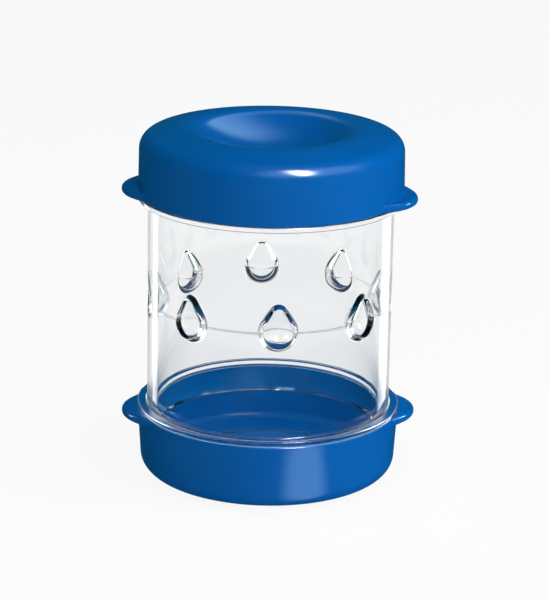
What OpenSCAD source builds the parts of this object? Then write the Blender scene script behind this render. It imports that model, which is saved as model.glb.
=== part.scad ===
// Egg peeler: a clear tube with inward dents, closed by a push-on cap at each end.
// Millimetres. +Z is up, and the origin is at the centre of the ring that the peeler stands on.

/* [Clear tube] */
// Outside diameter of the tube's wall
tube_d = 68; // [60:0.5:80]
// Thickness of the tube's wall
tube_wall = 2.5; // [1.5:0.1:3.5]
// Clear length of wall between the two flanges
tube_span = 58.4; // [48:0.2:80]
// Thickness of the flange that each cap's rim sits on
flange_t = 1.5; // [1:0.1:3]
// Rounding of the flange's outer edges
flange_edge_r = 0.4; // [0.1:0.05:0.45]
// Fillet between the flange and the clear wall
flange_fillet_r = 0.6; // [0.2:0.1:1.5]
// Length of wall past each flange that goes into a cap
spigot_len = 7; // [4:0.5:9]
// Lead-in chamfer at the open ends of the tube
spigot_chamfer = 0.6; // [0.2:0.1:1.2]

/* [Dents] */
// Number of dents around the tube
dent_count = 8; // [4:1:10]
// Width of a dent's hollow
dent_w = 8.3; // [6.5:0.1:11]
// Height of the hollow's tip above its widest level
dent_rise = 6.8; // [5:0.1:10]
// Rounding of the hollow's tip
dent_tip_r = 1.55; // [0.4:0.05:2.5]
// How far a bump stands into the tube, past the bore
dent_reach = 3.7; // [2:0.1:5.5]
// Thickness of the skin of a dent
dent_wall = 1.5; // [0.8:0.1:2]
// Height of the dents' widest level above the lower flange
dent_level = 29.7; // [15:0.1:38]
// Turn of the first dent from the front, towards +X, in degrees
dent_turn = 4.5; // [0:0.5:45]

/* [Caps] */
// Thickness of the caps' shell
cap_wall = 2.6; // [1.8:0.1:4]
// Clearance between a spigot and its cap, on the radius
cap_fit = 0.08; // [0.02:0.01:0.1]
// Height of the top cap
top_cap_h = 18.3; // [16:0.1:30]
// Height of the bottom cap
bottom_cap_h = 19.8; // [18:0.1:32]
// Inside radius of the top cap's shoulder
top_shoulder_r = 1.8; // [0.4:0.1:4]
// Inside radius of the bottom cap's shoulder
bottom_shoulder_r = 2.4; // [0.4:0.1:4]
// Draft of the top cap's wall, in degrees
top_draft = 1; // [0:0.5:4]
// Draft of the bottom cap's wall, in degrees
bottom_draft = 3.5; // [0:0.5:5]
// Depth of a cap's socket past the end of the spigot
socket_spare = 0.8; // [0.2:0.1:2]
// Rise of the crown from the shoulder to the ridge, in degrees
crown_slope = 13; // [6:1:22]
// Width of the crown, from the wall to the flat on the ridge
crown_w = 11.6; // [10:0.1:16]
// Rounding between the crown and the ridge
crest_r = 10; // [5:0.5:16]
// Rounding of the rim's outer edge
rim_edge_r = 0.5; // [0.1:0.1:1]
// Chamfer at the mouth of each cap
mouth_chamfer = 0.4; // [0.1:0.1:0.8]

/* [Finger dish] */
// Width of the flat on the ridge, which the bottom cap stands on
ridge_w = 1; // [0.6:0.1:4]
// Depth of the dish below the ridge
dish_depth = 7; // [4:0.1:10]
// Inside radius of the bend from the ridge into the dish
lip_r = 5.4; // [1:0.1:7]

/* [Pull tabs] */
// Width of a tab where it leaves the cap
tab_w = 21; // [14:0.5:28]
// How far a tab stands out from the cap's wall
tab_reach = 4.5; // [2:0.1:7]
// Thickness of a tab
tab_t = 2.3; // [2.2:0.1:4]
// Rounding of a tab's edges
tab_edge_r = 1; // [0.3:0.1:1.05]
// Turn of the top cap's pair of tabs from the X axis, in degrees
top_tab_turn = -6.5; // [-45:0.5:45]
// How far each of the top cap's tabs sits forward of the line across it, in degrees
top_tab_lean = 10; // [0:0.5:30]
// Turn of the bottom cap's pair of tabs from the X axis, in degrees
bottom_tab_turn = 3.5; // [-45:0.5:45]
// How far each of the bottom cap's tabs sits forward of the line across it, in degrees
bottom_tab_lean = 4; // [0:0.5:30]

/* [Hidden] */

$fn = 96;
arc_steps = 12;
tip_steps = 6;
crest_steps = 4;
cap_blue = [0, 0.35, 0.66];
clear_plastic = [0.9, 0.94, 0.97, 0.35];

// Tube
tube_r = tube_d / 2;
bore_r = tube_r - tube_wall;
mid_wall_r = tube_r - tube_wall / 2;
tube_half_span = tube_span / 2;
tube_half_len = tube_half_span + flange_t + spigot_len;

// Caps: the socket takes the spigot, and the flange is as wide as the cap
socket_r = tube_r + cap_fit;
cap_r = socket_r + cap_wall;
socket_len = spigot_len + socket_spare;
ridge_r = cap_r - crown_w;
dish_r = ridge_r - ridge_w;
// The dish is a bowl that the lip's bend meets smoothly
lip_outer_r = lip_r + cap_wall;
bowl_r = (dish_r * dish_r + dish_depth * dish_depth) / (2 * dish_depth) - lip_outer_r;
bowl_angle = asin(dish_r / (bowl_r + lip_outer_r));

// Heights along the axis
tube_mid_z = bottom_cap_h + flange_t + tube_half_span;
dent_z = bottom_cap_h + flange_t + dent_level;
top_rim_z = bottom_cap_h + tube_span + 2 * flange_t;

// Dents: the nose is turned about an upright axis at dent_axis_r
dent_r = dent_w / 2;
dent_axis_r = bore_r - dent_reach + dent_wall + dent_r;
dent_out = dent_w + tube_wall;

// Tabs: each is part of a round disc that leaves the wall tab_w wide
tab_root = sqrt(cap_r * cap_r - tab_w * tab_w / 4);
tab_sag = cap_r + tab_reach - tab_root;
tab_r = (tab_w * tab_w / 4 + tab_sag * tab_sag) / (2 * tab_sag);
tab_centre = cap_r + tab_reach - tab_r;

// Points on an arc about c from angle a0 to a1
function arc(c, r, a0, a1, n = arc_steps) =
    [for (i = [0:n]) let (a = a0 + (a1 - a0) * i / n) c + r * [cos(a), sin(a)]];

function flip_y(points) = [for (i = [len(points) - 1:-1:0]) [points[i].x, -points[i].y]];
function flip_x(points) = [for (i = [len(points) - 1:-1:0]) [-points[i].x, points[i].y]];
function reversed(points) = [for (i = [len(points) - 1:-1:0]) points[i]];

// Outside of the tube from its middle up to the end of the spigot
function tube_upper_outside() = concat(
    arc([tube_r + flange_fillet_r, tube_half_span - flange_fillet_r], flange_fillet_r, 180, 90),
    arc([cap_r - flange_edge_r, tube_half_span + flange_edge_r], flange_edge_r, -90, 0),
    arc([cap_r - flange_edge_r, tube_half_span + flange_t - flange_edge_r], flange_edge_r, 0, 90),
    [
        [tube_r, tube_half_span + flange_t],
        [tube_r, tube_half_len - spigot_chamfer],
        [tube_r - spigot_chamfer, tube_half_len],
        [bore_r, tube_half_len]
    ]
);

// Right half of a teardrop, grown from the hollow's outline: a round bottom and a rounded tip,
// joined by their common tangent
function half_teardrop(grow) =
    let (
        tip_y = dent_rise - dent_tip_r,
        lean = asin((dent_r - dent_tip_r) / tip_y)
    )
    concat(
        arc([0, 0], dent_r + grow, -90, lean),
        arc([0, tip_y], dent_tip_r + grow, lean, 90, tip_steps)
    );

// Section of a cap's skin, inset from its outside, from the wall to the axis.
// The shoulder's arc touches the drafted wall and the crown, and every inset keeps its centre.
function cap_skin(h, shoulder_r, draft, inset) =
    let (
        shoulder_outer_r = shoulder_r + cap_wall,
        crest = [ridge_r, h - crest_r],
        crown_at = [sin(crown_slope), cos(crown_slope)] * crest + crest_r - shoulder_outer_r,
        wall_at = [cos(draft), sin(draft)] * [cap_r, rim_edge_r] - shoulder_outer_r,
        shoulder = [
            wall_at * cos(crown_slope) - crown_at * sin(draft),
            crown_at * cos(draft) - wall_at * sin(crown_slope)
        ] / cos(draft + crown_slope),
        lip = [dish_r, h - lip_outer_r],
        bowl = [0, h - dish_depth + bowl_r]
    )
    concat(
        arc(shoulder, shoulder_outer_r - inset, draft, 90 - crown_slope),
        arc(crest, crest_r - inset, 90 - crown_slope, 90, crest_steps),
        arc(lip, lip_outer_r - inset, 90, 90 + bowl_angle),
        arc(bowl, bowl_r + inset, 270 + bowl_angle, 270)
    );

// A teardrop plug whose round nose points to the axis and whose outline runs straight outwards
module dent_plug(grow) {
    half = half_teardrop(grow);
    translate([dent_axis_r, 0, 0]) {
        rotate([0, 0, 90]) rotate_extrude(angle = 180) polygon(half);
        rotate([90, 0, 90]) linear_extrude(dent_out) polygon(concat(half, flip_x(half)));
    }
}

// Copies of its children at each dent
module at_dents() {
    for (i = [0:dent_count - 1])
        rotate([0, 0, dent_turn - 90 + i * 360 / dent_count]) translate([0, 0, dent_z]) children();
}

module clear_tube() {
    upper = tube_upper_outside();
    color(clear_plastic) difference() {
        union() {
            translate([0, 0, tube_mid_z]) rotate_extrude() polygon(concat(flip_y(upper), upper));
            intersection() {
                at_dents() dent_plug(dent_wall);
                cylinder(r = mid_wall_r, h = tube_mid_z + tube_half_len);
            }
        }
        at_dents() dent_plug(0);
    }
}

// One tongue of a cap, flush with the rim
module tab() {
    difference() {
        translate([tab_centre, 0, 0]) rotate_extrude() polygon(concat(
            [[0, 0]],
            arc([tab_r - tab_edge_r, tab_edge_r], tab_edge_r, -90, 0),
            arc([tab_r - tab_edge_r, tab_t - tab_edge_r], tab_edge_r, 0, 90),
            [[0, tab_t]]
        ));
        translate([0, 0, -tab_t]) cylinder(r = socket_r + cap_wall / 2, h = 3 * tab_t);
    }
}

// A cap with its rim at z = 0 and its crown up
module cap(h, shoulder_r, draft, tab_turn, tab_lean) {
    outside = cap_skin(h, shoulder_r, draft, 0);
    inside = cap_skin(h, shoulder_r, draft, cap_wall);
    rim = concat(
        [[socket_r, socket_len], [socket_r, mouth_chamfer], [socket_r + mouth_chamfer, 0]],
        arc([cap_r - rim_edge_r, rim_edge_r], rim_edge_r, -90, 0)
    );
    rotate_extrude() polygon(concat(rim, outside, reversed(inside)));
    for (angle = [tab_turn - tab_lean, 180 + tab_turn + tab_lean]) rotate([0, 0, angle]) tab();
}

module top_cap() {
    color(cap_blue) translate([0, 0, top_rim_z])
        cap(top_cap_h, top_shoulder_r, top_draft, top_tab_turn, top_tab_lean);
}

module bottom_cap() {
    color(cap_blue) translate([0, 0, bottom_cap_h]) mirror([0, 0, 1])
        cap(bottom_cap_h, bottom_shoulder_r, bottom_draft, bottom_tab_turn, bottom_tab_lean);
}

bottom_cap();
clear_tube();
top_cap();
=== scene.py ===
"""Egg peeler: two glossy blue push-on caps on a clear tube with teardrop dents, on a pale light table.

Sizes in the dataclasses are millimetres and degrees unless a name says otherwise. The axes are the
frame's own: +Z up, the front towards -Y.
"""

import logging
import math
from dataclasses import dataclass
from enum import Enum

import bmesh
import bpy
import numpy as np
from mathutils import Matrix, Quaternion, Vector


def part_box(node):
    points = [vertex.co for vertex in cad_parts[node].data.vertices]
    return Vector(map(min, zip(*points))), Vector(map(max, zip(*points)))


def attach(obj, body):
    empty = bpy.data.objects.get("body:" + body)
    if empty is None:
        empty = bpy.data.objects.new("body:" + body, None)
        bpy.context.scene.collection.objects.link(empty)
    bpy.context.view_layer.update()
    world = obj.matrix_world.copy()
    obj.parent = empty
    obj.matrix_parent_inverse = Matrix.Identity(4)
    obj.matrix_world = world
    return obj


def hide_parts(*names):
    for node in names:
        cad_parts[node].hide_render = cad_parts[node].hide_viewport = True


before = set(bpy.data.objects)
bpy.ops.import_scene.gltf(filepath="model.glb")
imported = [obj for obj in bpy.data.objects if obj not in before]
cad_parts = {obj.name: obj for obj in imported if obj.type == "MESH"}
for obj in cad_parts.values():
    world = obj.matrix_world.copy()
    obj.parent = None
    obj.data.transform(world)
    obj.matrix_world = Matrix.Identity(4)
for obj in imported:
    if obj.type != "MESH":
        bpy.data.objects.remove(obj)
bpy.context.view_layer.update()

LOG = logging.getLogger("egg_peeler")
MM = 0.001
WELD_MM = 0.002
CREASE_DEG = 40.0
TINY = 1e-9
RAMP_STOPS = (0.35, 0.65)
PANEL_MIDDLE = (0.5, 0.5, 0.0)

# A ray's turns are counted in whole numbers, so each limit stands half way between two of them.
ONE_TURN = 0.5
TWO_TURNS = 1.5
FOUR_TURNS = 3.5

Material = bpy.types.Material
Piece = bpy.types.Object
Socket = bpy.types.NodeSocket
Tint = tuple[float, float, float]
Colour = tuple[float, float, float, float]


class Slot(Enum):
    """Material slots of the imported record."""

    CAP = "cap_blue"
    TUBE = "clear_plastic"


class LampUse(Enum):
    """What a lamp does.

    A LIGHT lights things and shows in no gloss. The others light nothing and only show as reflections: a
    GLINT in every piece, a SHEEN in the caps, a WINDOW in both faces of the tube, a STRIP in its outer one.
    """

    LIGHT = "light"
    GLINT = "glint"
    SHEEN = "sheen"
    WINDOW = "window"
    STRIP = "strip"


class CapEnd(Enum):
    """The two ends of the peeler, by the node of the cap there."""

    TOP = "top_cap"
    BOTTOM = "bottom_cap"


def arc(centre: tuple[float, float], radius: float, start: float, end: float, count: int) -> np.ndarray:
    """Points of a circular arc: centre + radius * (cos a, sin a), with a in even steps.

    Args:
        centre: Centre of the arc.
        radius: Radius of the arc.
        start: First angle, in degrees.
        end: Last angle, in degrees.
        count: Number of points.

    Returns:
        Array of shape (count, 2).
    """
    a = np.radians(np.linspace(start, end, count))
    return np.array(centre) + radius * np.column_stack((np.cos(a), np.sin(a)))


def smooth_step(value: np.ndarray) -> np.ndarray:
    """The curve t * t * (3 - 2 t), with t the value held between 0 and 1."""
    t = np.clip(value, 0.0, 1.0)
    return t * t * (3.0 - 2.0 * t)


def soft_max(a: np.ndarray, b: np.ndarray, reach: float) -> np.ndarray:
    """The larger of two fields, with a rounded corner where they are within reach of each other.

    Args:
        a: First field.
        b: Second field.
        reach: Difference at which the rounding starts.

    Returns:
        max(a, b) + h * h / (4 reach), with h = max(reach - |a - b|, 0).
    """
    h = np.maximum(reach - np.abs(a - b), 0.0)
    return np.maximum(a, b) + h * h / (4.0 * reach)


def grid_faces(rows: int, columns: int) -> np.ndarray:
    """Quads of a grid of vertices, numbered row by row, whose last column joins its first.

    Args:
        rows: Number of rows.
        columns: Number of columns.

    Returns:
        Array of vertex numbers, of shape ((rows - 1) * columns, 4).
    """
    row = columns * np.arange(rows - 1)[:, None]
    here = np.arange(columns)
    after = (here + 1) % columns
    quads = (row + here, row + after, row + columns + after, row + columns + here)
    return np.stack(quads, axis=-1).reshape(-1, 4)


def closed_object(name: str, grids: list[np.ndarray]) -> Piece:
    """One closed, smooth mesh from grids whose edges and poles meet.

    Each grid is put in with its columns wrapped round. Points that coincide are then welded, which joins
    the grids and closes the poles, and the faces are turned outwards.

    Args:
        name: Name of the new object.
        grids: Vertex grids in millimetres, each of shape (rows, columns, 3).

    Returns:
        The new object, linked to the scene.
    """
    sizes = [grid.shape[0] * grid.shape[1] for grid in grids]
    starts = np.concatenate(([0], np.cumsum(sizes)[:-1]))
    vertices = np.concatenate([grid.reshape(-1, 3) for grid in grids]) * MM
    faces = np.concatenate([grid_faces(*grid.shape[:2]) + first for grid, first in zip(grids, starts)])
    mesh = bpy.data.meshes.new(name)
    mesh.from_pydata(vertices, [], faces)
    bm = bmesh.new()
    bm.from_mesh(mesh)
    bmesh.ops.remove_doubles(bm, verts=bm.verts, dist=WELD_MM * MM)
    bmesh.ops.recalc_face_normals(bm, faces=bm.faces)
    bm.to_mesh(mesh)
    bm.free()
    mesh.polygons.foreach_set("use_smooth", np.ones(len(mesh.polygons), dtype=bool))
    mesh.set_sharp_from_angle(angle=math.radians(CREASE_DEG))
    piece = bpy.data.objects.new(name, mesh)
    bpy.context.scene.collection.objects.link(piece)
    return piece


class NodeSheet:
    """A node tree with short calls to add nodes and join them."""

    def __init__(self, tree: bpy.types.NodeTree) -> None:
        """Takes over a tree and empties it."""
        self.tree = tree
        self.tree.nodes.clear()

    def add(self, kind: str, inputs: dict | None = None, **settings: str) -> bpy.types.Node:
        """Adds a node.

        Args:
            kind: The node's type name, without its ShaderNode start.
            inputs: What goes into its sockets, by name or number: an output to join or a value.
            **settings: Settings of the node, by attribute name.

        Returns:
            The new node.
        """
        node = self.tree.nodes.new("ShaderNode" + kind)
        for name, value in settings.items():
            setattr(node, name, value)
        for key, value in (inputs or {}).items():
            if isinstance(value, Socket):
                self.tree.links.new(value, node.inputs[key])
            else:
                node.inputs[key].default_value = value
        return node

    def math(self, operation: str, *values: Socket | float) -> Socket:
        """The result of a named sum on sockets and numbers."""
        return self.add("Math", dict(enumerate(values)), operation=operation).outputs["Value"]

    def step(self, value: Socket, ends: tuple[float, float]) -> Socket:
        """Adds a smooth step of a value, from 0 at the first end to 1 at the second.

        Args:
            value: What it reads.
            ends: Values where it starts and ends. The first may be the larger.

        Returns:
            Its output.
        """
        low, high = sorted(ends)
        rising = float(ends[0] < ends[1])
        limits = {"From Min": low, "From Max": high, "To Min": 1.0 - rising, "To Max": rising}
        step = self.add("MapRange", {"Value": value, **limits}, interpolation_type="SMOOTHSTEP")
        return step.outputs["Result"]

    def noise(self, size_mm: float, detail: float) -> Socket:
        """Adds a noise pattern on the piece's own coordinates.

        Args:
            size_mm: Rough size of its patches.
            detail: Number of finer layers.

        Returns:
            Its grey output.
        """
        place = self.add("TexCoord").outputs["Object"]
        scale = 1.0 / (size_mm * MM)
        return self.add("TexNoise", {"Vector": place, "Scale": scale, "Detail": detail}).outputs["Fac"]

    def ramp(self, grey: Socket, low: Colour, high: Colour) -> Socket:
        """Adds a colour ramp.

        Args:
            grey: What it reads.
            low: Colour at its lower stop.
            high: Colour at its upper stop.

        Returns:
            Its colour output.
        """
        ramp = self.add("ValToRGB", {"Fac": grey})
        for element, position, colour in zip(ramp.color_ramp.elements, RAMP_STOPS, (low, high)):
            element.position = position
            element.color = colour
        return ramp.outputs["Color"]

    def spread(self, grey: Socket, low: float, high: float) -> Socket:
        """A grey pattern mapped from 0..1 to low..high."""
        return self.add("MapRange", {"Value": grey, "To Min": low, "To Max": high}).outputs["Result"]

    def split(self, vector: Socket) -> bpy.types.Node:
        """A node that splits a vector into its parts X, Y and Z."""
        return self.add("SeparateXYZ", {"Vector": vector})

    def mix(self, share: Socket, *shaders: Socket) -> Socket:
        """A mix of two shaders, which is the first where share is 0 and the second where it is 1."""
        return self.add("MixShader", dict(enumerate((share, *shaders)))).outputs["Shader"]


def new_material(name: str) -> tuple[Material, NodeSheet]:
    """Makes a material without nodes.

    Args:
        name: Its name.

    Returns:
        The material, and the sheet to put its nodes on.
    """
    material = bpy.data.materials.new(name)
    material.use_nodes = True
    return material, NodeSheet(material.node_tree)


@dataclass(frozen=True)
class GlossyPlastic:
    """Moulded opaque plastic: a faint mottle in its colour and shine, over fine mould texture."""

    deep: Colour = (0.0, 0.113, 0.437, 1.0)
    pale: Colour = (0.0003, 0.119, 0.458, 1.0)
    ior: float = 1.5
    mottle_mm: float = 22.0
    mottle_detail: float = 1.0
    roughness: tuple[float, float] = (0.14, 0.18)
    grain_mm: float = 0.5
    grain_detail: float = 2.0
    grain_height_mm: float = 0.003

    def material(self) -> Material:
        """Builds the finish.

        Returns:
            The new material.
        """
        material, sheet = new_material("blue_moulded_plastic")
        mottle = sheet.noise(self.mottle_mm, self.mottle_detail)
        grain = sheet.noise(self.grain_mm, self.grain_detail)
        bump = sheet.add("Bump", {"Distance": self.grain_height_mm * MM, "Height": grain})
        skin = sheet.add("BsdfPrincipled", {
            "Base Color": sheet.ramp(mottle, self.deep, self.pale),
            "Roughness": sheet.spread(mottle, *self.roughness),
            "IOR": self.ior,
            "Normal": bump.outputs["Normal"],
        })
        sheet.add("OutputMaterial", {"Surface": skin.outputs["BSDF"]})
        return material


@dataclass(frozen=True)
class ClearPlastic:
    """Polished clear plastic: a trace of haze, and a fine mould line round the tube."""

    seam_level_mm: float
    clean: Colour = (0.995, 0.998, 0.999, 1.0)
    tint: Colour = (0.975, 0.985, 0.988, 1.0)
    cloud_mm: float = 14.0
    cloud_detail: float = 2.0
    ior: float = 1.5
    seam_half_mm: float = 0.16
    seam_height_mm: float = 0.05
    shadow: Colour = (0.86, 0.93, 0.86, 1.0)

    def seam(self, sheet: NodeSheet) -> Socket:
        """A narrow raised line at the seam's level.

        The height is 1 at the level and falls smoothly to 0 at seam_half_mm above and below it.

        Args:
            sheet: The material's nodes.

        Returns:
            The height, from 0 to 1.
        """
        axes = sheet.split(sheet.add("TexCoord").outputs["Object"])
        above = sheet.math("SUBTRACT", axes.outputs["Z"], self.seam_level_mm * MM)
        return sheet.step(sheet.math("ABSOLUTE", above), (self.seam_half_mm * MM, 0.0))

    def material(self) -> Material:
        """Builds the finish. Lamps shine through it, because its shadow is see-through.

        Returns:
            The new material.
        """
        material, sheet = new_material("clear_moulded_plastic")
        cloud = sheet.noise(self.cloud_mm, self.cloud_detail)
        bump = sheet.add("Bump", {"Distance": self.seam_height_mm * MM, "Height": self.seam(sheet)})
        glass = sheet.add("BsdfPrincipled", {
            "Base Color": sheet.ramp(cloud, self.tint, self.clean),
            "Roughness": 0.0,
            "IOR": self.ior,
            "Transmission Weight": 1.0,
            "Normal": bump.outputs["Normal"],
        })
        see_through = sheet.add("BsdfTransparent", {"Color": self.shadow})
        in_shadow = sheet.add("LightPath").outputs["Is Shadow Ray"]
        both = sheet.mix(in_shadow, glass.outputs["BSDF"], see_through.outputs["BSDF"])
        sheet.add("OutputMaterial", {"Surface": both})
        return material


@dataclass
class Cap:
    """A push-on cap: a shell with a dished crown and two pull tabs at its rim.

    Heights in its section are measured from the rim's seat towards the crown. The last fields are the
    numbers of points on its arcs, and of columns at each tab and between the tabs.
    """

    end: CapEnd
    shoulder_r: float
    draft: float
    tab_turn: float
    tab_lean: float
    rim_gap: float
    wall: float = 2.6
    crown_slope: float = 13.0
    crown_w: float = 11.6
    crest_r: float = 10.0
    ridge_w: float = 1.0
    dish_depth: float = 7.0
    lip_r: float = 8.0
    rim_edge_r: float = 0.5
    mouth_chamfer: float = 0.4
    socket_len: float = 7.8
    tab_w: float = 21.0
    tab_reach: float = 4.5
    tab_t: float = 2.3
    tab_edge_r: float = 1.0
    tab_root_r: float = 0.8
    tab_blend: float = 2.6
    tab_settle: float = 0.5
    tab_span_deg: float = 23.0
    bowl_points: int = 26
    lip_points: int = 18
    crest_points: int = 10
    shoulder_points: int = 20
    tab_arc_points: int = 8
    tab_top_points: int = 6
    tab_columns: int = 110
    plain_columns: int = 90

    def __post_init__(self) -> None:
        """Takes the cap's radius, height and place from its node."""
        low, high = (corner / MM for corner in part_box(self.end.value))
        self.radius = (high.y - low.y) / 2
        self.height = high.z - low.z
        self.up = 1.0 if self.end is CapEnd.TOP else -1.0
        self.seat_z = low.z if self.end is CapEnd.TOP else high.z

    def skin(self, inset: float) -> np.ndarray:
        """Half section of the crown, from the axis out to the wall.

        A bowl, a lip, the crest and the shoulder are arcs that meet in common tangents. An inset skin keeps
        their centres, so the shell has an even wall.

        Args:
            inset: Depth below the outside.

        Returns:
            Points (radius, height).
        """
        ridge_r = self.radius - self.crown_w
        dish_r = ridge_r - self.ridge_w
        bowl_r = (dish_r**2 + self.dish_depth**2) / (2 * self.dish_depth) - self.lip_r
        bowl_deg = math.degrees(math.asin(dish_r / (bowl_r + self.lip_r)))
        crest_z = self.height - self.crest_r
        slope, lean = math.radians(self.crown_slope), math.radians(self.draft)
        crown_at = math.sin(slope) * ridge_r + math.cos(slope) * crest_z + self.crest_r - self.shoulder_r
        wall_at = math.cos(lean) * self.radius + math.sin(lean) * self.rim_edge_r - self.shoulder_r
        shoulder_x = (wall_at * math.cos(slope) - crown_at * math.sin(lean)) / math.cos(lean + slope)
        shoulder_z = (crown_at * math.cos(lean) - wall_at * math.sin(slope)) / math.cos(lean + slope)
        steep = 90.0 - self.crown_slope
        bowl_z = self.height - self.dish_depth + bowl_r
        lip_z = self.height - self.lip_r
        return np.concatenate((
            arc((0.0, bowl_z), bowl_r + inset, 270.0, 270.0 + bowl_deg, self.bowl_points),
            arc((dish_r, lip_z), self.lip_r - inset, 90.0 + bowl_deg, 90.0, self.lip_points)[1:],
            arc((ridge_r, crest_z), self.crest_r - inset, 90.0, steep, self.crest_points),
            arc((shoulder_x, shoulder_z), self.shoulder_r - inset, steep, self.draft, self.shoulder_points),
        ))

    def wall_r(self, height: float) -> float:
        """Outside radius of the drafted wall at a height above the rim's seat."""
        return self.radius - (height - self.rim_edge_r) * math.tan(math.radians(self.draft))

    def tab_sections(self) -> tuple[np.ndarray, np.ndarray]:
        """Outside of the wall from above a tab down to the seat, clear of the tabs and through one.

        Returns:
            Two lists of points (radius, height) of the same length, the plain one and the one with a tab.
        """
        base = self.rim_gap
        edge = self.tab_edge_r
        tip = self.radius + self.tab_reach
        root = self.tab_root_r
        rim_r = self.radius - self.rim_edge_r
        root_z = self.tab_t + root
        root_r = self.wall_r(root_z)
        top = self.tab_t
        under = arc((tip - edge, base + edge), edge, 0.0, -90.0, self.tab_arc_points)
        tabbed = np.concatenate((
            arc((root_r + root, root_z), root, 180.0, 270.0, self.tab_arc_points),
            np.linspace((root_r + root, top), (tip - edge, top), self.tab_top_points)[1:-1],
            arc((tip - edge, top - edge), edge, 90.0, 0.0, self.tab_arc_points),
            under,
            [(rim_r, base)],
        ))
        above = len(tabbed) - len(under) - 1
        wall = np.linspace((root_r, root_z), (self.radius, base + self.rim_edge_r), above + 1)
        rim = arc((rim_r, base + self.rim_edge_r), self.rim_edge_r, 0.0, -90.0, len(under) + 1)
        return np.concatenate((wall[:-1], rim)), tabbed

    def tab_angles(self) -> tuple[float, float]:
        """Angles of the two tabs about the axis, both moved forward of the line across by tab_lean."""
        return self.tab_turn - self.tab_lean, 180.0 + self.tab_turn + self.tab_lean

    def columns(self) -> np.ndarray:
        """Places the surface's columns, closer together at the tabs.

        Returns:
            Their angles about the axis, in radians.
        """
        right, left = self.tab_angles()
        span = self.tab_span_deg
        near = np.linspace(-span, span, self.tab_columns)
        front = np.linspace(left + span, right + 360.0 - span, self.plain_columns)[1:-1]
        back = np.linspace(right + span, left - span, self.plain_columns)[1:-1]
        return np.radians(np.concatenate((right + near, back, left + near, front)))

    def reach(self, angle: np.ndarray) -> np.ndarray:
        """How far the tabs stand out of the wall at each angle.

        A tab is a part of a round disc that leaves the wall tab_w wide. Its edge at an angle a from the
        tab's middle is c cos a + sqrt(r r - (c sin a)^2), with c the disc's centre and r its radius, and it
        runs into the wall by a soft maximum.

        Args:
            angle: Angles about the axis, in radians.

        Returns:
            Distances from the wall, 0 away from the tabs.
        """
        sag = self.radius + self.tab_reach - math.sqrt(self.radius**2 - self.tab_w**2 / 4)
        disc_r = (self.tab_w**2 / 4 + sag**2) / (2 * sag)
        centre = self.radius + self.tab_reach - disc_r
        from_tab = angle[:, None] - np.radians(self.tab_angles())
        edge = np.sqrt(np.maximum(disc_r**2 - (centre * np.sin(from_tab)) ** 2, 0.0))
        beyond = (centre * np.cos(from_tab) + edge - self.radius).max(axis=1)
        return soft_max(beyond, np.zeros_like(beyond), self.tab_blend)

    def grid(self) -> np.ndarray:
        """The cap's whole surface, as its half section carried round the axis.

        At an angle the section is the plain one, moved towards the one with a tab: outwards in step with
        the tab's reach, and in height as soon as the reach is past tab_settle.

        Returns:
            Vertex grid, from the middle of the dish over the rim to the middle of the inside.
        """
        outside = self.skin(0.0)
        inside = self.skin(self.wall)[::-1]
        plain_zone, tab_zone = self.tab_sections()
        socket_r = self.radius - self.wall
        mouth = np.array((
            (socket_r + self.mouth_chamfer, self.rim_gap),
            (socket_r, self.mouth_chamfer),
            (socket_r, self.socket_len),
        ))
        plain = np.concatenate((outside, plain_zone, mouth, inside))
        tabbed = np.concatenate((outside, tab_zone, mouth, inside))
        angle = self.columns()
        out = self.reach(angle)
        radius = plain[:, :1] + (tabbed - plain)[:, :1] * (out / self.tab_reach)
        height = plain[:, 1:] + (tabbed - plain)[:, 1:] * smooth_step(out / self.tab_settle)
        z = self.seat_z + self.up * height
        return np.stack((radius * np.cos(angle), radius * np.sin(angle), z), axis=-1)

    def build(self, finish: Material) -> Piece:
        """Makes the cap, dresses it and puts it on its body.

        Args:
            finish: The plastic's material.

        Returns:
            The finished piece.
        """
        piece = closed_object(self.end.value + "_shell", [self.grid()])
        piece.data.materials.append(finish)
        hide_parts(self.end.value)
        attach(piece, self.end.value)
        return piece


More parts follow.
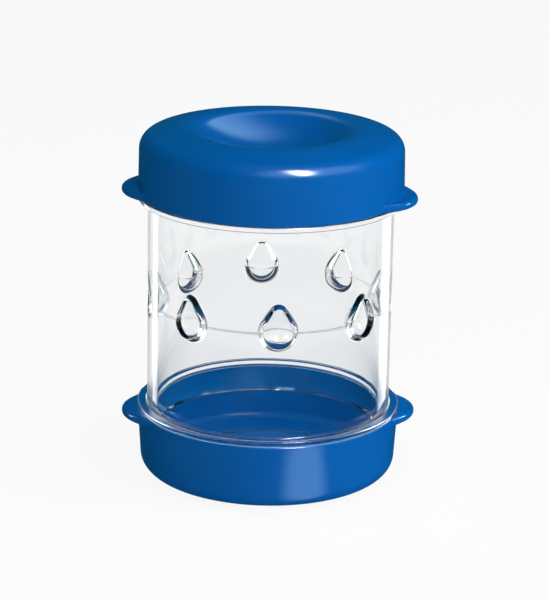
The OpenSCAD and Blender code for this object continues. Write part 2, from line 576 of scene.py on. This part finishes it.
@dataclass
class Teardrop:
    """A dent's outline, about its widest level: a round bottom and a rounded tip, joined by tangents."""

    bottom_r: float
    tip_r: float
    tip_z: float

    def grown(self, by: float) -> "Teardrop":
        """The parallel outline a distance outside this one."""
        return Teardrop(self.bottom_r + by, self.tip_r + by, self.tip_z)

    @property
    def lean(self) -> float:
        """Angle of the tangents' normals above the level, in radians."""
        return math.asin((self.bottom_r - self.tip_r) / self.tip_z)

    def reach(self, angle: np.ndarray) -> np.ndarray:
        """Distance from the middle of the widest level to the outline.

        On the round bottom it is bottom_r, on a tangent bottom_r / cos(a - lean), and on the tip
        t sin a + sqrt(tip_r^2 - (t cos a)^2), with t the height of the tip's centre.

        Args:
            angle: Directions from the +x side, in radians.

        Returns:
            Distances, one for each direction.
        """
        side = np.arcsin(np.clip(np.sin(angle), -1.0, 1.0))
        tip_z = self.tip_z + self.tip_r * math.sin(self.lean)
        tip_from = math.atan2(tip_z, self.tip_r * math.cos(self.lean))
        tangent = self.bottom_r / np.cos(np.clip(side, self.lean, tip_from) - self.lean)
        root = np.sqrt(np.maximum(self.tip_r**2 - (self.tip_z * np.cos(side)) ** 2, 0.0))
        tip = self.tip_z * np.sin(side) + root
        return np.where(side > tip_from, tip, tangent)

    def half_width(self, z: np.ndarray) -> np.ndarray:
        """Half the outline's width: the round bottom's, the tangents' or the tip's.

        Args:
            z: Heights above its widest level.

        Returns:
            Half widths, one for each height.
        """
        sin, cos = math.sin(self.lean), math.cos(self.lean)
        bottom = np.sqrt(np.maximum(self.bottom_r**2 - z**2, 0.0))
        tangent = (self.bottom_r - z * sin) / cos
        tip = np.sqrt(np.maximum(self.tip_r**2 - (z - self.tip_z) ** 2, 0.0))
        upper = np.where(z < self.tip_z + self.tip_r * sin, tangent, tip)
        return np.where(z < self.bottom_r * sin, bottom, upper)

    def nose(self, x: np.ndarray, z: np.ndarray) -> np.ndarray:
        """Depth of the outline turned about its upright axis: sqrt(w(z)^2 - x^2), 0 outside it."""
        return np.sqrt(np.maximum(self.half_width(z) ** 2 - x**2, 0.0))


@dataclass
class ClearTube:
    """The clear tube: two flanges with spigots past them, and a ring of teardrop dents.

    Each dent has a cell of the wall to itself. A cell is a round grid: its rows are rings that start at the
    middle of the dent and end at the cell's edge, where it meets its neighbours and the end bands. The
    fields from low_columns on set how closely the surfaces are divided.
    """

    radius: float = 34.0
    wall: float = 2.5
    flange_t: float = 1.5
    flange_edge_r: float = 0.4
    flange_fillet_r: float = 0.6
    spigot_len: float = 7.0
    spigot_chamfer: float = 0.6
    bore_edge_r: float = 0.25
    dent_count: int = 8
    dent_w: float = 8.3
    dent_rise: float = 6.8
    dent_tip_r: float = 1.55
    dent_reach: float = 3.7
    dent_wall: float = 1.5
    dent_level: float = 29.7
    dent_turn: float = 4.5
    mouth_r: float = 0.3
    root_blend: float = 0.9
    cell_above: float = 12.0
    cell_below: float = 9.5
    low_columns: int = 13
    side_columns: int = 19
    high_columns: int = 21
    hollow_rows: int = 18
    mouth_rows: int = 6
    bump_rows: int = 11
    bump_rows_deg: float = 50.0
    root_rows: int = 16
    root_step: float = 0.04
    root_end: float = 1.02
    plain_rows: int = 8
    plain_crowding: float = 1.6
    wall_points: int = 6
    fillet_points: int = 8
    flange_points: int = 7
    spigot_root: float = 0.1
    bore_edge_points: int = 5
    bore_points: int = 8
    bore_start: float = 2.0

    def __post_init__(self) -> None:
        """Takes the tube's ends and flange from its node, and works out the dents' places."""
        low, high = (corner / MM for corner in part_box("clear_tube"))
        self.flange_r = (high.x - low.x) / 2
        self.mid_z = (low.z + high.z) / 2
        self.half_len = (high.z - low.z) / 2
        self.bore_r = self.radius - self.wall
        self.dent_z = low.z + self.spigot_len + self.flange_t + self.dent_level
        self.hollow = Teardrop(self.dent_w / 2, self.dent_tip_r, self.dent_rise - self.dent_tip_r)
        self.bump = self.hollow.grown(self.dent_wall)
        self.axis_r = self.bore_r - self.dent_reach + self.bump.bottom_r
        self.cell_deg = 180.0 / self.dent_count

    def directions(self) -> np.ndarray:
        """Places a cell's columns, from straight down round by +x, with one at each corner.

        Returns:
            Their directions from the middle of the dent, in radians.
        """
        half_w = self.radius * math.radians(self.cell_deg)
        low = math.degrees(math.atan2(-self.cell_below, half_w))
        high = math.degrees(math.atan2(self.cell_above, half_w))
        runs = (
            np.linspace(-90.0, low, self.low_columns)[:-1],
            np.linspace(low, high, self.side_columns)[:-1],
            np.linspace(high, 90.0, self.high_columns),
        )
        right = np.concatenate(runs)
        return np.radians(np.concatenate((right, 180.0 - right[-2:0:-1])))

    def cell_edge(self) -> tuple[np.ndarray, np.ndarray]:
        """Where a cell's columns meet its edge.

        Returns:
            Angles about the tube's axis from the dent's middle, in radians, and heights from its level.
        """
        a = self.directions()
        half_w = self.radius * math.radians(self.cell_deg)
        tall = np.where(np.sin(a) > 0, self.cell_above, self.cell_below)
        to_side = half_w / np.maximum(np.abs(np.cos(a)), TINY)
        to_end = tall / np.maximum(np.abs(np.sin(a)), TINY)
        far = np.minimum(to_side, to_end)
        return far * np.cos(a) / self.radius, far * np.sin(a)

    def plain_rings(self, x: np.ndarray, z: np.ndarray, radius: float) -> np.ndarray:
        """Rings on a plain cylinder from a ring of points out to the cell's edge, closer at the start.

        Args:
            x: Sideways places of the first ring.
            z: Heights of the first ring.
            radius: The cylinder's radius.

        Returns:
            Points (outwards, sideways, up) in the dent's own frame, of shape (plain_rows, columns, 3).
        """
        edge_angle, edge_z = self.cell_edge()
        share = np.linspace(0.0, 1.0, self.plain_rows + 1)[1:, None] ** self.plain_crowding
        angle = np.arcsin(x / radius)
        angle = angle + (edge_angle - angle) * share
        height = z + (edge_z - z) * share
        return np.stack((radius * np.cos(angle), radius * np.sin(angle), height), axis=-1)

    def hollow_rings(self) -> np.ndarray:
        """Rings of the outside of a cell: the hollow's nose, straight wall and rounded mouth, and the tube.

        The nose is axis_r - sqrt(w(z)^2 - x^2) on rings sin(t) times the outline, so that they crowd where
        it turns into the wall. The mouth is a quarter round between parallel outlines.

        Returns:
            Points (outwards, sideways, up) in the dent's own frame, of shape (rings, columns, 3).
        """
        a = self.directions()
        side, up = np.cos(a), np.sin(a)
        outline = self.hollow.reach(a)
        t = np.sin(np.linspace(0.0, np.pi / 2, self.hollow_rows))[:, None]
        x, z = t * outline * side, t * outline * up
        nose = np.stack((self.axis_r - self.hollow.nose(x, z), x, z), axis=-1)
        turn = np.linspace(0.0, np.pi / 2, self.mouth_rows)[:, None]
        rings = [self.hollow.grown(self.mouth_r * (1.0 - math.cos(k))).reach(a) for k in turn[:, 0]]
        x, z = np.array(rings) * side, np.array(rings) * up
        out = np.sqrt(self.radius**2 - x**2) - self.mouth_r * (1.0 - np.sin(turn))
        mouth = np.stack((out, x, z), axis=-1)
        plain = self.plain_rings(x[-1], z[-1], self.radius)
        return np.concatenate((nose, mouth, plain))

    def bump_rings(self) -> np.ndarray:
        """Rings of the inside of a cell: the bump, the fillet round its root, and the bore.

        The surface is the softly rounded smaller of the bore's and the bump's distance from the axis.

        Returns:
            Points (outwards, sideways, up) in the dent's own frame, of shape (rings, columns, 3).
        """
        a = self.directions()
        outline = self.bump.reach(a)
        nose = np.sin(np.radians(np.linspace(0.0, self.bump_rows_deg, self.bump_rows)))[:-1]
        root = np.linspace(nose[-1] + self.root_step, self.root_end, self.root_rows)
        t = np.concatenate((nose, root))[:, None]
        x, z = t * outline * np.cos(a), t * outline * np.sin(a)
        bore = np.sqrt(self.bore_r**2 - x**2)
        bump = self.axis_r - self.bump.nose(x, z)
        out = -soft_max(-bore, -bump, self.root_blend)
        rings = np.stack((out, x, z), axis=-1)
        plain = self.plain_rings(x[-1], z[-1], self.bore_r)
        return np.concatenate((rings, plain))

    def dent_angles(self) -> np.ndarray:
        """Angles of the dents about the tube's axis, in radians."""
        return np.radians(self.dent_turn - 90.0 + np.arange(self.dent_count) * 360.0 / self.dent_count)

    def turned_cells(self, rings: np.ndarray) -> list[np.ndarray]:
        """Copies of a cell's rings at each dent.

        Args:
            rings: Points (outwards, sideways, up) in a dent's own frame.

        Returns:
            One vertex grid for each dent.
        """
        angle = self.dent_angles()[:, None, None]
        out, side, up = np.moveaxis(rings, -1, 0)
        x = out * np.cos(angle) - side * np.sin(angle)
        y = out * np.sin(angle) + side * np.cos(angle)
        z = np.broadcast_to(up + self.dent_z, x.shape)
        return list(np.stack((x, y, z), axis=-1))

    def end_section(self, start: float) -> np.ndarray:
        """Half section over one end of the tube, outside, across the end and back down the bore.

        Args:
            start: Height above the tube's middle where it leaves the cells and where it comes back.

        Returns:
            Points (radius, height above the middle).
        """
        face = self.half_len - self.spigot_len
        under = face - self.flange_t
        edge, fillet, chamfer = self.flange_edge_r, self.flange_fillet_r, self.spigot_chamfer
        bore_top = (self.bore_r + self.bore_edge_r, self.half_len - self.bore_edge_r)
        bore_from = (self.bore_r, self.half_len - self.bore_start)
        return np.concatenate((
            np.linspace((self.radius, start), (self.radius, under - fillet), self.wall_points)[:-1],
            arc((self.radius + fillet, under - fillet), fillet, 180.0, 90.0, self.fillet_points),
            arc((self.flange_r - edge, under + edge), edge, -90.0, 0.0, self.flange_points),
            arc((self.flange_r - edge, face - edge), edge, 0.0, 90.0, self.flange_points),
            ((self.radius + self.spigot_root, face), (self.radius, face + self.spigot_root)),
            ((self.radius, self.half_len - chamfer), (self.radius - chamfer, self.half_len)),
            arc(bore_top, self.bore_edge_r, 90.0, 180.0, self.bore_edge_points),
            np.linspace(bore_from, (self.bore_r, start), self.bore_points),
        ))

    def band(self, up: float) -> np.ndarray:
        """The band over one end of the tube.

        Args:
            up: 1 for the upper end and -1 for the lower one.

        Returns:
            Vertex grid whose columns meet those of the cells.
        """
        edge_angle, edge_z = self.cell_edge()
        level = self.cell_above if up > 0 else -self.cell_below
        on_edge = np.sort(edge_angle[np.abs(edge_z - level) < WELD_MM])[:-1]
        angle = (self.dent_angles()[:, None] + on_edge).ravel()
        section = self.end_section(up * (self.dent_z + level - self.mid_z))
        radius, height = section[:, :1], section[:, 1:]
        z = np.broadcast_to(self.mid_z + up * height, (len(section), len(angle)))
        return np.stack((radius * np.cos(angle), radius * np.sin(angle), z), axis=-1)

    def build(self, finish: Material) -> Piece:
        """Makes the tube, dresses it and puts it on its body.

        Args:
            finish: The clear plastic's material.

        Returns:
            The finished piece.
        """
        cells = self.turned_cells(self.hollow_rings()) + self.turned_cells(self.bump_rings())
        piece = closed_object("dented_tube", cells + [self.band(1.0), self.band(-1.0)])
        piece.data.materials.append(finish)
        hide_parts("clear_tube")
        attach(piece, "clear_tube")
        return piece


@dataclass(frozen=True)
class SoftBox:
    """An oblong studio lamp that faces the object's middle.

    Its place is its turn from the front towards +X, rise and distance, and its size is width and height.
    """

    name: str
    use: LampUse
    place: tuple[float, float, float]
    size: tuple[float, float]
    watts: float
    colour: Tint = (1.0, 1.0, 1.0)
    reach: float = 5000.0
    reach_edge: float = 6.0
    fade: tuple[float, float] = (0.5, 0.2)

    def soften(self, lamp: bpy.types.Light) -> None:
        """Fades a panel towards its edges, so that its reflection has soft ones, and past its reach.

        The strength is a smooth step on the distance from the panel's middle, in parts of its sides, times
        one on the distance to what it shines on.

        Args:
            lamp: The lamp's data.
        """
        lamp.use_nodes = True
        sheet = NodeSheet(lamp.node_tree)
        place = sheet.add("NewGeometry").outputs["Parametric"]
        middle = sheet.add("VectorMath", {0: place, 1: PANEL_MIDDLE}, operation="DISTANCE")
        away = sheet.add("LightPath").outputs["Ray Length"]
        near = sheet.step(away, (self.reach * MM, (self.reach - self.reach_edge) * MM))
        strength = sheet.math("MULTIPLY", sheet.step(middle.outputs["Value"], self.fade), near)
        glow = sheet.add("Emission", {"Strength": strength})
        sheet.add("OutputLight", {"Surface": glow.outputs["Emission"]})

    def build(self, target: Vector, shown_on: dict[LampUse, bpy.types.Collection]) -> Piece:
        """Hangs the lamp so that it faces the target.

        Args:
            target: The point it faces, in metres.
            shown_on: The pieces that each use is kept to.

        Returns:
            The lamp.
        """
        azimuth, elevation, distance = self.place
        width, height = self.size
        lamp = bpy.data.lights.new(self.name, "AREA")
        lamp.shape = "RECTANGLE"
        lamp.size = width * MM
        lamp.size_y = height * MM
        lamp.energy = self.watts
        lamp.color = self.colour
        turn, rise = math.radians(azimuth), math.radians(elevation)
        away = Vector((math.sin(turn) * math.cos(rise), -math.cos(turn) * math.cos(rise), math.sin(rise)))
        holder = bpy.data.objects.new(self.name, lamp)
        holder.location = target + away * (distance * MM)
        holder.rotation_mode = "QUATERNION"
        holder.rotation_quaternion = (-away).to_track_quat("-Z", "Y")
        holder.visible_camera = False
        holder.visible_transmission = False
        holder.visible_diffuse = self.use is LampUse.LIGHT
        holder.visible_glossy = self.use is not LampUse.LIGHT
        if self.use is not LampUse.LIGHT:
            self.soften(lamp)
        if self.use in shown_on:
            holder.light_linking.receiver_collection = shown_on[self.use]
        if self.use is LampUse.WINDOW:
            # With its blockers named, a window also shows in the faces that are seen through the wall.
            holder.light_linking.blocker_collection = shown_on[LampUse.GLINT]
        bpy.context.scene.collection.objects.link(holder)
        return holder


@dataclass
class Studio:
    """The camera, the pale table, the surround and the soft lamps.

    The pairs are the ends of steps: dark_behind and dark_round are distances on the table, panel_edge is of
    the panels' wave, gloss_levels are strengths, and the others are parts of a direction.
    """

    camera_distance: float = 740.0
    camera_rise: float = 17.34
    camera_roll: float = 1.02
    camera_aim: tuple[float, float, float] = (1.394, 0.0, 50.13)
    focal_px: float = 2653.2
    picture_px: float = 600.0
    sensor_mm: float = 36.0
    floor_half: float = 4000.0
    floor_drop: float = 0.05
    floor_white: float = 0.92
    floor_low: Colour = (0.84, 0.84, 0.84, 1.0)
    floor_high: Colour = (0.86, 0.86, 0.86, 1.0)
    floor_mottle_mm: float = 40.0
    floor_detail: float = 2.0
    fill: Colour = (0.09, 0.09, 0.09, 1.0)
    white: Colour = (1.0, 1.0, 1.0, 1.0)
    panel_turns: float = 4.0
    panel_edge: tuple[float, float] = (0.1, 0.8)
    gap_grey: float = 0.55
    gloss_tint: Colour = (0.03, 0.5, 1.0, 1.0)
    gloss_levels: tuple[float, float] = (0.15, 0.26)
    gloss_heights: tuple[float, float] = (-0.3, 0.6)
    back_range: tuple[float, float] = (0.55, 0.80)
    dark_behind: tuple[float, float] = (45.0, 75.0)
    dark_round: tuple[float, float] = (160.0, 180.0)
    dark_wide: tuple[float, float] = (0.15, 0.30)
    dark_high: tuple[float, float] = (0.45, 0.60)
    ahead_range: tuple[float, float] = (0.3, 0.0)
    horizon: tuple[float, float] = (0.05, -0.05)
    glint: Tint = (0.5, 0.8, 1.0)
    card: Tint = (1.0, 1.0, 0.1)
    dish_reach: float = 77.0
    tab_reach: float = 37.0
    tab_panel: tuple[float, float] = (11.0, 10.0)

    def lamps(self) -> tuple[SoftBox, ...]:
        """Lists the lamps.

        Returns:
            Those that light the object, and the panels that only show in its gloss.
        """
        light, glint, sheen = LampUse.LIGHT, LampUse.GLINT, LampUse.SHEEN
        window, strip = LampUse.WINDOW, LampUse.STRIP
        tint = self.glint
        dish = {"colour": tint, "reach": self.dish_reach}
        tab = {"size": self.tab_panel, "colour": tint, "reach": self.tab_reach}
        return (
            SoftBox("key_panel", light, (42.0, 40.0, 620.0), (1200.0, 640.0), watts=4.4),
            SoftBox("side_box", light, (75.0, 12.0, 900.0), (400.0, 500.0), watts=1.5),
            SoftBox("top_box", light, (20.0, 82.0, 900.0), (500.0, 500.0), watts=1.3),
            SoftBox("left_card", light, (-75.0, 8.0, 900.0), (400.0, 500.0), watts=0.42, colour=self.card),
            SoftBox("shoulder_glint", glint, (30.0, 46.0, 800.0), (300.0, 760.0), watts=29.0),
            SoftBox("shoulder_sheen", sheen, (40.0, 44.0, 620.0), (1400.0, 760.0), watts=6.6, colour=tint),
            SoftBox("dish_sheen", sheen, (168.0, 61.0, 101.6), (31.0, 46.0), watts=0.0118, **dish),
            SoftBox("top_right_tab", sheen, (80.0, 28.6, 75.0), watts=0.008, **tab),
            SoftBox("low_right_tab", sheen, (86.4, -23.3, 72.0), watts=0.012, **tab),
            SoftBox("low_left_tab", sheen, (-83.9, -22.2, 74.5), watts=0.012, **tab),
            SoftBox("left_window", window, (-110.0, 25.0, 800.0), (750.0, 580.0), watts=4.5),
            SoftBox("right_window", window, (105.0, 25.0, 800.0), (750.0, 580.0), watts=4.5),
            SoftBox("left_strip", strip, (-134.0, -17.0, 800.0), (220.0, 460.0), watts=1.1),
            SoftBox("right_strip", strip, (137.5, -17.0, 800.0), (400.0, 460.0), watts=1.7),
            SoftBox("foot_sheen", sheen, (23.0, -43.0, 77.0), (36.0, 62.0), watts=0.022, colour=tint),
        )

    def camera(self) -> Piece:
        """Puts up the camera at the photograph's place.

        Returns:
            The camera.
        """
        data = bpy.data.cameras.new("camera")
        data.sensor_width = self.sensor_mm
        data.lens = self.focal_px / self.picture_px * self.sensor_mm
        holder = bpy.data.objects.new("camera", data)
        rise = math.radians(self.camera_rise)
        away = Vector((0.0, -math.cos(rise), math.sin(rise)))
        holder.location = (Vector(self.camera_aim) + away * self.camera_distance) * MM
        holder.rotation_mode = "QUATERNION"
        roll = Quaternion((0.0, 0.0, 1.0), math.radians(self.camera_roll))
        holder.rotation_quaternion = (-away).to_track_quat("-Z", "Y") @ roll
        bpy.context.scene.collection.objects.link(holder)
        bpy.context.scene.camera = holder
        return holder

    def heading(self, sheet: NodeSheet) -> bpy.types.Node:
        """The parts along the axes of the direction in which a ray leaves the scene."""
        return sheet.split(sheet.add("TexCoord").outputs["Generated"])

    def white_floor(self, sheet: NodeSheet) -> Socket:
        """Where the glass mirrors the floor as white: behind the object, and everywhere far from it.

        Args:
            sheet: The floor's nodes.

        Returns:
            The share of white.
        """
        place = sheet.add("TexCoord").outputs["Object"]
        back = sheet.split(place).outputs["Y"]
        out = sheet.add("VectorMath", {0: place}, operation="LENGTH")
        behind = sheet.step(sheet.math("DIVIDE", back, MM), self.dark_behind)
        far = sheet.step(sheet.math("DIVIDE", out.outputs["Value"], MM), self.dark_round)
        return sheet.math("MAXIMUM", behind, far)

    def white_room(self, sheet: NodeSheet) -> Socket:
        """Where the glass mirrors the room as white: not low and straight behind, where a level face looks.

        Below the horizon, where a mirrored ray meets no floor, only what is straight behind is white. A ray
        that went through the glass many times sees no white, unless it was mirrored twice.

        Args:
            sheet: The world's nodes.

        Returns:
            The share of white.
        """
        axes = self.heading(sheet)
        below = sheet.step(axes.outputs["Z"], self.horizon)
        under = sheet.math("MULTIPLY", below, sheet.step(axes.outputs["Y"], self.back_range))
        ahead = sheet.step(axes.outputs["Y"], self.ahead_range)
        wide = sheet.step(sheet.math("ABSOLUTE", axes.outputs["X"]), self.dark_wide)
        high = sheet.step(sheet.math("ABSOLUTE", axes.outputs["Z"]), self.dark_high)
        over = sheet.math("MAXIMUM", ahead, sheet.math("MAXIMUM", wide, high))
        over = sheet.math("MULTIPLY", over, sheet.math("SUBTRACT", 1.0, below))
        seen = sheet.math("MAXIMUM", under, over)
        path = sheet.add("LightPath")
        few = sheet.math("LESS_THAN", path.outputs["Transmission Depth"], FOUR_TURNS)
        twice = sheet.math("GREATER_THAN", path.outputs["Glossy Depth"], TWO_TURNS)
        return sheet.math("MULTIPLY", seen, sheet.math("MAXIMUM", few, twice))

    def clear_sight(self, sheet: NodeSheet, white: Socket) -> Socket:
        """1 for a ray that meets the white surround through glass, 0 for one off a matt or a glossy thing.

        A ray that was mirrored in the glass itself is told by its sharpness.

        Args:
            sheet: The nodes it is added to.
            white: The share of white for a ray that was mirrored in the glass.

        Returns:
            The share of white.
        """
        path = sheet.add("LightPath")
        unscattered = sheet.math("LESS_THAN", path.outputs["Diffuse Depth"], ONE_TURN)
        mirrored = sheet.math("GREATER_THAN", path.outputs["Glossy Depth"], ONE_TURN)
        straight = sheet.math("SUBTRACT", path.outputs["Is Transmission Ray"], mirrored)
        sharp = sheet.math("MULTIPLY", mirrored, path.outputs["Is Singular Ray"])
        in_glass = sheet.math("MULTIPLY", sharp, white)
        return sheet.math("MULTIPLY", unscattered, sheet.math("MAXIMUM", straight, in_glass))

    def floor(self) -> Piece:
        """Lays the pale table, which looks white and keeps a soft shadow.

        Returns:
            The table.
        """
        half, z = self.floor_half * MM, -self.floor_drop * MM
        mesh = bpy.data.meshes.new("table")
        corners = [(-half, -half, z), (half, -half, z), (half, half, z), (-half, half, z)]
        mesh.from_pydata(corners, [], [(0, 1, 2, 3)])
        table = bpy.data.objects.new("table", mesh)
        bpy.context.scene.collection.objects.link(table)
        material, sheet = new_material("pale_table")
        mottle = sheet.noise(self.floor_mottle_mm, self.floor_detail)
        matt = sheet.add("BsdfDiffuse", {"Color": sheet.ramp(mottle, self.floor_low, self.floor_high)})
        glow = sheet.add("Emission")
        dark = sheet.add("Emission", {"Color": self.gloss_tint, "Strength": self.gloss_levels[0]})
        path = sheet.add("LightPath")
        sight = self.clear_sight(sheet, self.white_floor(sheet))
        seen = sheet.math("MAXIMUM", path.outputs["Is Camera Ray"], sight)
        white = sheet.math("MULTIPLY", seen, self.floor_white)
        pale = sheet.mix(white, matt.outputs["BSDF"], glow.outputs["Emission"])
        mirrored = sheet.math("GREATER_THAN", path.outputs["Glossy Depth"], ONE_TURN)
        dim = sheet.math("SUBTRACT", mirrored, sight)
        sheet.add("OutputMaterial", {"Surface": sheet.mix(dim, pale, dark.outputs["Emission"])})
        mesh.materials.append(material)
        table.visible_glossy = False
        return table

    def through_glass(self, sheet: NodeSheet) -> bpy.types.Node:
        """What is seen through glass: white panels all round, with greyer gaps between them.

        The panels stand ahead, behind, at both sides and between these: with a the direction about the
        upright axis and n panel_turns, white where |cos na| is large and gap_grey where it is small.

        Args:
            sheet: The world's nodes.

        Returns:
            The background node.
        """
        axes = self.heading(sheet)
        turn = sheet.math("ARCTAN2", axes.outputs["X"], axes.outputs["Y"])
        wave = sheet.math("COSINE", sheet.math("MULTIPLY", turn, self.panel_turns))
        low, high = self.panel_edge
        limits = {"From Min": low, "From Max": high, "To Min": self.gap_grey}
        size = sheet.math("ABSOLUTE", wave)
        panel = sheet.add("MapRange", {"Value": size, **limits}, interpolation_type="SMOOTHSTEP")
        return sheet.add("Background", {"Strength": panel.outputs["Result"]})

    def off_gloss(self, sheet: NodeSheet) -> bpy.types.Node:
        """What gloss mirrors besides the lamps: a dim room that is darker below the horizon.

        Args:
            sheet: The world's nodes.

        Returns:
            The background node.
        """
        low, high = self.gloss_heights
        dim, bright = self.gloss_levels
        limits = {"From Min": low, "From Max": high, "To Min": dim, "To Max": bright}
        level = sheet.add("MapRange", {"Value": self.heading(sheet).outputs["Z"], **limits})
        return sheet.add("Background", {"Color": self.gloss_tint, "Strength": level.outputs["Result"]})

    def world(self) -> bpy.types.World:
        """Sets the surround: a plain fill on things, a dim room in gloss, panels in glass, else white.

        Returns:
            The world.
        """
        world = bpy.data.worlds.new("studio")
        world.use_nodes = True
        sheet = NodeSheet(world.node_tree)
        path = sheet.add("LightPath")
        fill = sheet.add("Background", {"Color": self.fill})
        white = sheet.add("Background", {"Color": self.white})
        so_far = fill.outputs["Background"]
        layers = (
            (path.outputs["Is Glossy Ray"], self.off_gloss(sheet)),
            (self.clear_sight(sheet, self.white_room(sheet)), self.through_glass(sheet)),
            (path.outputs["Is Camera Ray"], white),
        )
        for share, seen in layers:
            so_far = sheet.mix(share, so_far, seen.outputs["Background"])
        sheet.add("OutputWorld", {"Surface": so_far})
        bpy.context.scene.world = world
        return world

    def build(self, caps: list[Piece], tube: Piece) -> None:
        """Sets up the whole studio.

        Args:
            caps: The glossy pieces, which the sheens show on.
            tube: The clear piece, which the windows and the strips show in.
        """
        self.camera()
        self.world()
        self.floor()
        kept_to = {
            LampUse.SHEEN: caps,
            LampUse.WINDOW: [tube],
            LampUse.STRIP: [tube],
            LampUse.GLINT: caps + [tube],
        }
        shown_on = {}
        for use, pieces in kept_to.items():
            shown_on[use] = bpy.data.collections.new(use.value)
            for piece in pieces:
                shown_on[use].objects.link(piece)
        for lamp in self.lamps():
            lamp.build(Vector(self.camera_aim) * MM, shown_on)
        bpy.context.scene.view_settings.view_transform = "Standard"


def main() -> None:
    """Builds the caps and the tube, then the studio round them."""
    logging.basicConfig(level=logging.INFO)
    tube = ClearTube()
    blue = GlossyPlastic().material()
    foot = Cap(CapEnd.BOTTOM, shoulder_r=5.0, draft=3.5, tab_turn=3.5, tab_lean=4.0, rim_gap=-0.02)
    lid = Cap(CapEnd.TOP, shoulder_r=4.4, draft=1.0, tab_turn=-6.5, tab_lean=10.0, rim_gap=0.05)
    pieces = [
        foot.build(blue),
        tube.build(ClearPlastic(tube.dent_z).material()),
        lid.build(blue),
    ]
    for piece in pieces:
        mesh = piece.data
        LOG.info("%s: %d vertices, %d faces", piece.name, len(mesh.vertices), len(mesh.polygons))
    bottom_cap, clear_tube, top_cap = pieces
    Studio().build([bottom_cap, top_cap], clear_tube)


if __name__ == "__main__":
    main()
